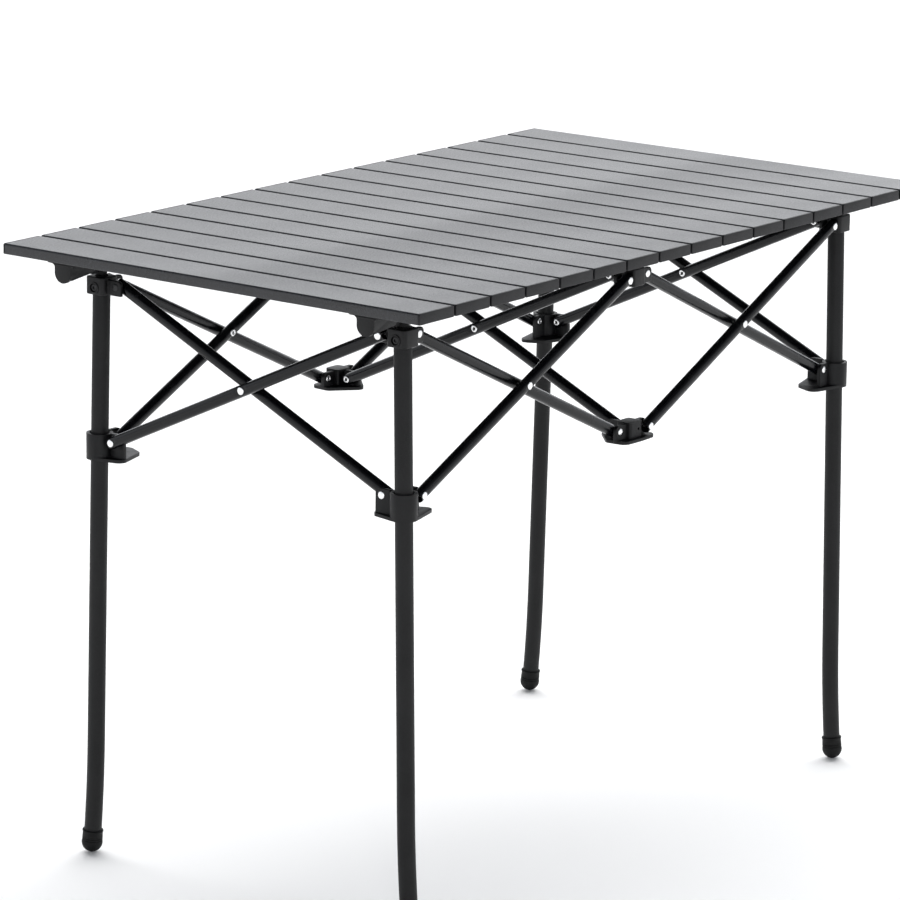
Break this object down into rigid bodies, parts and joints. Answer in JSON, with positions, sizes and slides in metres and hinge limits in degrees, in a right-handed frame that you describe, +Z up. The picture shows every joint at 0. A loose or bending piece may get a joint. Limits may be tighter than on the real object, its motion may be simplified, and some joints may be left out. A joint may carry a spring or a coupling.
{
  "type": "folding side table",
  "caption": "Roll-top camping table: linked aluminium slats clipped to a scissor frame whose bars and collars fold together around four leaning legs.",
  "frame": {"origin": "on the floor, under the middle of the table top", "axes": "+X along the long side, +Y along the slats, +Z up; the front is -Y"},
  "size_m": [0.95, 0.555, 0.68],
  "materials": {
    "slat_aluminium": "brushed grey anodised",
    "scissor_tube": "gloss black paint",
    "leg_powder_coat": "fine-textured matt powder coat",
    "hub_nylon": "moulded black nylon",
    "foot_rubber": "black rubber"
  },
  "bodies": {
    "mid_hub_top_front": {"mid_hub_top_front": "hub_nylon"},
    "bar_front_right_b": {"bar_front_right_b": "scissor_tube"},
    "bar_front_right_a": {"bar_front_right_a": "scissor_tube"},
    "leg_cap_front_right": {"leg_cap_front_right": "hub_nylon"},
    "collar_front_right": {"collar_front_right": "hub_nylon"},
    "mid_hub_low_front": {"mid_hub_low_front": "hub_nylon"},
    "bar_front_left_a": {"bar_front_left_a": "scissor_tube"},
    "bar_front_left_b": {"bar_front_left_b": "scissor_tube"},
    "leg_cap_front_left": {"leg_cap_front_left": "hub_nylon"},
    "collar_front_left": {"collar_front_left": "hub_nylon"},
    "bar_centre_a": {"bar_centre_a": "scissor_tube"},
    "bar_centre_b": {"bar_centre_b": "scissor_tube"},
    "mid_hub_top_rear": {"mid_hub_top_rear": "hub_nylon"},
    "mid_hub_low_rear": {"mid_hub_low_rear": "hub_nylon"},
    "bar_rear_left_a": {"bar_rear_left_a": "scissor_tube"},
    "bar_rear_left_b": {"bar_rear_left_b": "scissor_tube"},
    "leg_cap_rear_left": {"leg_cap_rear_left": "hub_nylon"},
    "collar_rear_left": {"collar_rear_left": "hub_nylon"},
    "bar_rear_right_b": {"bar_rear_right_b": "scissor_tube"},
    "bar_rear_right_a": {"bar_rear_right_a": "scissor_tube"},
    "leg_cap_rear_right": {"leg_cap_rear_right": "hub_nylon"},
    "collar_rear_right": {"collar_rear_right": "hub_nylon"},
    "bar_left_end_a": {"bar_left_end_a": "scissor_tube"},
    "bar_left_end_b": {"bar_left_end_b": "scissor_tube"},
    "bar_right_end_a": {"bar_right_end_a": "scissor_tube"},
    "bar_right_end_b": {"bar_right_end_b": "scissor_tube"},
    "leg_front_left": {"leg_front_left": "leg_powder_coat", "foot_front_left": "foot_rubber"},
    "leg_rear_left": {"leg_rear_left": "leg_powder_coat", "foot_rear_left": "foot_rubber"},
    "leg_front_right": {"leg_front_right": "leg_powder_coat", "foot_front_right": "foot_rubber"},
    "leg_rear_right": {"leg_rear_right": "leg_powder_coat", "foot_rear_right": "foot_rubber"},
    "slat_01": {"slat_01": "slat_aluminium", "bracket_front_left": "hub_nylon", "bracket_rear_left": "hub_nylon"},
    "slat_02": {"slat_02": "slat_aluminium"},
    "slat_03": {"slat_03": "slat_aluminium"},
    "slat_04": {"slat_04": "slat_aluminium"},
    "slat_05": {"slat_05": "slat_aluminium"},
    "slat_06": {"slat_06": "slat_aluminium"},
    "slat_07": {"slat_07": "slat_aluminium"},
    "slat_08": {"slat_08": "slat_aluminium"},
    "slat_09": {"slat_09": "slat_aluminium"},
    "slat_10": {"slat_10": "slat_aluminium"},
    "slat_11": {"slat_11": "slat_aluminium"},
    "slat_12": {"slat_12": "slat_aluminium"},
    "slat_13": {"slat_13": "slat_aluminium"},
    "slat_14": {"slat_14": "slat_aluminium"},
    "slat_15": {"slat_15": "slat_aluminium"},
    "slat_16": {"slat_16": "slat_aluminium", "bracket_front_right": "hub_nylon", "bracket_rear_right": "hub_nylon"},
    "latch_front_left": {"latch_front_left": "hub_nylon"},
    "latch_rear_left": {"latch_rear_left": "hub_nylon"},
    "latch_front_right": {"latch_front_right": "hub_nylon"},
    "latch_rear_right": {"latch_rear_right": "hub_nylon"}
  },
  "joints": [
    {"name": "frame_fold", "type": "hinge", "parent": "mid_hub_top_front", "child": "bar_front_right_b", "pos_m": [0.0225, -0.195, 0.635], "axis": [0, 1, 0], "range_deg": [0, 60]},
    {"name": "bar_front_right_a_pivot", "type": "hinge", "parent": "bar_front_right_b", "child": "bar_front_right_a", "pos_m": [0.202, -0.195, 0.551], "axis": [0, 1, 0], "range_deg": [-120, 0]},
    {"name": "leg_cap_front_right_pivot", "type": "hinge", "parent": "bar_front_right_a", "child": "leg_cap_front_right", "pos_m": [0.3815, -0.209, 0.635], "axis": [0, 1, 0], "range_deg": [0, 60]},
    {"name": "collar_front_right_pivot", "type": "hinge", "parent": "bar_front_right_b", "child": "collar_front_right", "pos_m": [0.3815, -0.195, 0.467], "axis": [0, 1, 0], "range_deg": [-60, 0]},
    {"name": "mid_hub_low_front_pivot", "type": "hinge", "parent": "bar_front_right_a", "child": "mid_hub_low_front", "pos_m": [0.0225, -0.209, 0.467], "axis": [0, 1, 0], "range_deg": [0, 60]},
    {"name": "bar_front_left_a_pivot", "type": "hinge", "parent": "mid_hub_top_front", "child": "bar_front_left_a", "pos_m": [-0.0225, -0.209, 0.635], "axis": [0, 1, 0], "range_deg": [-60, 0]},
    {"name": "bar_front_left_b_pivot", "type": "hinge", "parent": "bar_front_left_a", "child": "bar_front_left_b", "pos_m": [-0.202, -0.209, 0.551], "axis": [0, 1, 0], "range_deg": [0, 120]},
    {"name": "leg_cap_front_left_pivot", "type": "hinge", "parent": "bar_front_left_b", "child": "leg_cap_front_left", "pos_m": [-0.3815, -0.195, 0.635], "axis": [0, 1, 0], "range_deg": [-60, 0]},
    {"name": "collar_front_left_pivot", "type": "hinge", "parent": "bar_front_left_a", "child": "collar_front_left", "pos_m": [-0.3815, -0.209, 0.467], "axis": [0, 1, 0], "range_deg": [0, 60]},
    {"name": "bar_centre_a_pivot", "type": "hinge", "parent": "mid_hub_top_front", "child": "bar_centre_a", "pos_m": [-0.007, -0.1795, 0.635], "axis": [1, 0, 0], "range_deg": [-60, 0]},
    {"name": "bar_centre_b_pivot", "type": "hinge", "parent": "bar_centre_a", "child": "bar_centre_b", "pos_m": [-0.007, 0, 0.551], "axis": [1, 0, 0], "range_deg": [0, 120]},
    {"name": "mid_hub_top_rear_pivot", "type": "hinge", "parent": "bar_centre_b", "child": "mid_hub_top_rear", "pos_m": [0.007, 0.1795, 0.635], "axis": [1, 0, 0], "range_deg": [-60, 0]},
    {"name": "mid_hub_low_rear_pivot", "type": "hinge", "parent": "bar_centre_a", "child": "mid_hub_low_rear", "pos_m": [-0.007, 0.1795, 0.467], "axis": [1, 0, 0], "range_deg": [0, 60]},
    {"name": "bar_rear_left_a_pivot", "type": "hinge", "parent": "mid_hub_top_rear", "child": "bar_rear_left_a", "pos_m": [-0.0225, 0.195, 0.635], "axis": [0, 1, 0], "range_deg": [-60, 0]},
    {"name": "bar_rear_left_b_pivot", "type": "hinge", "parent": "bar_rear_left_a", "child": "bar_rear_left_b", "pos_m": [-0.202, 0.195, 0.551], "axis": [0, 1, 0], "range_deg": [0, 120]},
    {"name": "leg_cap_rear_left_pivot", "type": "hinge", "parent": "bar_rear_left_b", "child": "leg_cap_rear_left", "pos_m": [-0.3815, 0.209, 0.635], "axis": [0, 1, 0], "range_deg": [-60, 0]},
    {"name": "collar_rear_left_pivot", "type": "hinge", "parent": "bar_rear_left_a", "child": "collar_rear_left", "pos_m": [-0.3815, 0.195, 0.467], "axis": [0, 1, 0], "range_deg": [0, 60]},
    {"name": "bar_rear_right_b_pivot", "type": "hinge", "parent": "mid_hub_top_rear", "child": "bar_rear_right_b", "pos_m": [0.0225, 0.209, 0.635], "axis": [0, 1, 0], "range_deg": [0, 60]},
    {"name": "bar_rear_right_a_pivot", "type": "hinge", "parent": "bar_rear_right_b", "child": "bar_rear_right_a", "pos_m": [0.202, 0.209, 0.551], "axis": [0, 1, 0], "range_deg": [-120, 0]},
    {"name": "leg_cap_rear_right_pivot", "type": "hinge", "parent": "bar_rear_right_a", "child": "leg_cap_rear_right", "pos_m": [0.3815, 0.195, 0.635], "axis": [0, 1, 0], "range_deg": [0, 60]},
    {"name": "collar_rear_right_pivot", "type": "hinge", "parent": "bar_rear_right_b", "child": "collar_rear_right", "pos_m": [0.3815, 0.209, 0.467], "axis": [0, 1, 0], "range_deg": [-60, 0]},
    {"name": "bar_left_end_a_pivot", "type": "hinge", "parent": "leg_cap_front_left", "child": "bar_left_end_a", "pos_m": [-0.411, -0.1795, 0.635], "axis": [1, 0, 0], "range_deg": [-60, 0]},
    {"name": "bar_left_end_b_pivot", "type": "hinge", "parent": "leg_cap_rear_left", "child": "bar_left_end_b", "pos_m": [-0.397, 0.1795, 0.635], "axis": [1, 0, 0], "range_deg": [0, 60]},
    {"name": "bar_right_end_a_pivot", "type": "hinge", "parent": "leg_cap_front_right", "child": "bar_right_end_a", "pos_m": [0.397, -0.1795, 0.635], "axis": [1, 0, 0], "range_deg": [-60, 0]},
    {"name": "bar_right_end_b_pivot", "type": "hinge", "parent": "leg_cap_rear_right", "child": "bar_right_end_b", "pos_m": [0.411, 0.1795, 0.635], "axis": [1, 0, 0], "range_deg": [0, 60]},
    {"name": "leg_front_left_lean", "type": "hinge", "parent": "leg_cap_front_left", "child": "leg_front_left", "pos_m": [-0.404, -0.202, 0.633], "axis": [1, 0, 0], "range_deg": [0, 0.84]},
    {"name": "leg_rear_left_lean", "type": "hinge", "parent": "leg_cap_rear_left", "child": "leg_rear_left", "pos_m": [-0.404, 0.202, 0.633], "axis": [1, 0, 0], "range_deg": [-0.84, 0]},
    {"name": "leg_front_right_lean", "type": "hinge", "parent": "leg_cap_front_right", "child": "leg_front_right", "pos_m": [0.404, -0.202, 0.633], "axis": [1, 0, 0], "range_deg": [0, 0.84]},
    {"name": "leg_rear_right_lean", "type": "hinge", "parent": "leg_cap_rear_right", "child": "leg_rear_right", "pos_m": [0.404, 0.202, 0.633], "axis": [1, 0, 0], "range_deg": [-0.84, 0]},
    {"name": "top_lift", "type": "slide", "parent": "mid_hub_top_front", "child": "slat_08", "axis": [0, 0, 1], "range_m": [0, 0.15]},
    {"name": "top_roll", "type": "hinge", "parent": "slat_08", "child": "slat_09", "pos_m": [0, 0, 0.68], "axis": [0, -1, 0], "range_deg": [0, 22]},
    {"name": "slat_10_hinge", "type": "hinge", "parent": "slat_09", "child": "slat_10", "pos_m": [0.05956, 0, 0.68], "axis": [0, -1, 0], "range_deg": [0, 23.32]},
    {"name": "slat_11_hinge", "type": "hinge", "parent": "slat_10", "child": "slat_11", "pos_m": [0.11912, 0, 0.68], "axis": [0, -1, 0], "range_deg": [0, 24.64]},
    {"name": "slat_12_hinge", "type": "hinge", "parent": "slat_11", "child": "slat_12", "pos_m": [0.17869, 0, 0.68], "axis": [0, -1, 0], "range_deg": [0, 25.96]},
    {"name": "slat_13_hinge", "type": "hinge", "parent": "slat_12", "child": "slat_13", "pos_m": [0.23825, 0, 0.68], "axis": [0, -1, 0], "range_deg": [0, 27.28]},
    {"name": "slat_14_hinge", "type": "hinge", "parent": "slat_13", "child": "slat_14", "pos_m": [0.29781, 0, 0.68], "axis": [0, -1, 0], "range_deg": [0, 28.6]},
    {"name": "slat_15_hinge", "type": "hinge", "parent": "slat_14", "child": "slat_15", "pos_m": [0.35737, 0, 0.68], "axis": [0, -1, 0], "range_deg": [0, 29.92]},
    {"name": "slat_16_hinge", "type": "hinge", "parent": "slat_15", "child": "slat_16", "pos_m": [0.41694, 0, 0.68], "axis": [0, -1, 0], "range_deg": [0, 31.24]},
    {"name": "slat_07_hinge", "type": "hinge", "parent": "slat_08", "child": "slat_07", "pos_m": [-0.05956, 0, 0.68], "axis": [0, 1, 0], "range_deg": [0, 20.68]},
    {"name": "slat_06_hinge", "type": "hinge", "parent": "slat_07", "child": "slat_06", "pos_m": [-0.11912, 0, 0.68], "axis": [0, 1, 0], "range_deg": [0, 19.36]},
    {"name": "slat_05_hinge", "type": "hinge", "parent": "slat_06", "child": "slat_05", "pos_m": [-0.17869, 0, 0.68], "axis": [0, 1, 0], "range_deg": [0, 18.04]},
    {"name": "slat_04_hinge", "type": "hinge", "parent": "slat_05", "child": "slat_04", "pos_m": [-0.23825, 0, 0.68], "axis": [0, 1, 0], "range_deg": [0, 16.72]},
    {"name": "slat_03_hinge", "type": "hinge", "parent": "slat_04", "child": "slat_03", "pos_m": [-0.29781, 0, 0.68], "axis": [0, 1, 0], "range_deg": [0, 15.4]},
    {"name": "slat_02_hinge", "type": "hinge", "parent": "slat_03", "child": "slat_02", "pos_m": [-0.35737, 0, 0.68], "axis": [0, 1, 0], "range_deg": [0, 14.08]},
    {"name": "slat_01_hinge", "type": "hinge", "parent": "slat_02", "child": "slat_01", "pos_m": [-0.41694, 0, 0.68], "axis": [0, 1, 0], "range_deg": [0, 12.76]},
    {"name": "latch_front_left_swing", "type": "hinge", "parent": "slat_01", "child": "latch_front_left", "pos_m": [-0.426, -0.202, 0.6649], "axis": [0, 0, 1], "range_deg": [0, 40]},
    {"name": "latch_rear_left_swing", "type": "hinge", "parent": "slat_01", "child": "latch_rear_left", "pos_m": [-0.426, 0.202, 0.6649], "axis": [0, 0, 1], "range_deg": [0, 40]},
    {"name": "latch_front_right_swing", "type": "hinge", "parent": "slat_16", "child": "latch_front_right", "pos_m": [0.426, -0.202, 0.6649], "axis": [0, 0, -1], "range_deg": [0, 40]},
    {"name": "latch_rear_right_swing", "type": "hinge", "parent": "slat_16", "child": "latch_rear_right", "pos_m": [0.426, 0.202, 0.6649], "axis": [0, 0, -1], "range_deg": [0, 40]}
  ],
  "couplings": [
    {"joint": "bar_front_right_a_pivot", "follows": "frame_fold", "ratio": -2},
    {"joint": "leg_cap_front_right_pivot", "follows": "frame_fold", "ratio": 1},
    {"joint": "collar_front_right_pivot", "follows": "frame_fold", "ratio": -1},
    {"joint": "mid_hub_low_front_pivot", "follows": "frame_fold", "ratio": 1},
    {"joint": "bar_front_left_a_pivot", "follows": "frame_fold", "ratio": -1},
    {"joint": "bar_front_left_b_pivot", "follows": "frame_fold", "ratio": 2},
    {"joint": "leg_cap_front_left_pivot", "follows": "frame_fold", "ratio": -1},
    {"joint": "collar_front_left_pivot", "follows": "frame_fold", "ratio": 1},
    {"joint": "bar_centre_a_pivot", "follows": "frame_fold", "ratio": -1},
    {"joint": "bar_centre_b_pivot", "follows": "frame_fold", "ratio": 2},
    {"joint": "mid_hub_top_rear_pivot", "follows": "frame_fold", "ratio": -1},
    {"joint": "mid_hub_low_rear_pivot", "follows": "frame_fold", "ratio": 1},
    {"joint": "bar_rear_left_a_pivot", "follows": "frame_fold", "ratio": -1},
    {"joint": "bar_rear_left_b_pivot", "follows": "frame_fold", "ratio": 2},
    {"joint": "leg_cap_rear_left_pivot", "follows": "frame_fold", "ratio": -1},
    {"joint": "collar_rear_left_pivot", "follows": "frame_fold", "ratio": 1},
    {"joint": "bar_rear_right_b_pivot", "follows": "frame_fold", "ratio": 1},
    {"joint": "bar_rear_right_a_pivot", "follows": "frame_fold", "ratio": -2},
    {"joint": "leg_cap_rear_right_pivot", "follows": "frame_fold", "ratio": 1},
    {"joint": "collar_rear_right_pivot", "follows": "frame_fold", "ratio": -1},
    {"joint": "bar_left_end_a_pivot", "follows": "frame_fold", "ratio": -1},
    {"joint": "bar_left_end_b_pivot", "follows": "frame_fold", "ratio": 1},
    {"joint": "bar_right_end_a_pivot", "follows": "frame_fold", "ratio": -1},
    {"joint": "bar_right_end_b_pivot", "follows": "frame_fold", "ratio": 1},
    {"joint": "leg_front_left_lean", "follows": "frame_fold", "ratio": 0.014},
    {"joint": "leg_rear_left_lean", "follows": "frame_fold", "ratio": -0.014},
    {"joint": "leg_front_right_lean", "follows": "frame_fold", "ratio": 0.014},
    {"joint": "leg_rear_right_lean", "follows": "frame_fold", "ratio": -0.014},
    {"joint": "slat_10_hinge", "follows": "top_roll", "ratio": 1.06},
    {"joint": "slat_11_hinge", "follows": "top_roll", "ratio": 1.12},
    {"joint": "slat_12_hinge", "follows": "top_roll", "ratio": 1.18},
    {"joint": "slat_13_hinge", "follows": "top_roll", "ratio": 1.24},
    {"joint": "slat_14_hinge", "follows": "top_roll", "ratio": 1.3},
    {"joint": "slat_15_hinge", "follows": "top_roll", "ratio": 1.36},
    {"joint": "slat_16_hinge", "follows": "top_roll", "ratio": 1.42},
    {"joint": "slat_07_hinge", "follows": "top_roll", "ratio": 0.94},
    {"joint": "slat_06_hinge", "follows": "top_roll", "ratio": 0.88},
    {"joint": "slat_05_hinge", "follows": "top_roll", "ratio": 0.82},
    {"joint": "slat_04_hinge", "follows": "top_roll", "ratio": 0.76},
    {"joint": "slat_03_hinge", "follows": "top_roll", "ratio": 0.7},
    {"joint": "slat_02_hinge", "follows": "top_roll", "ratio": 0.64},
    {"joint": "slat_01_hinge", "follows": "top_roll", "ratio": 0.58}
  ]
}
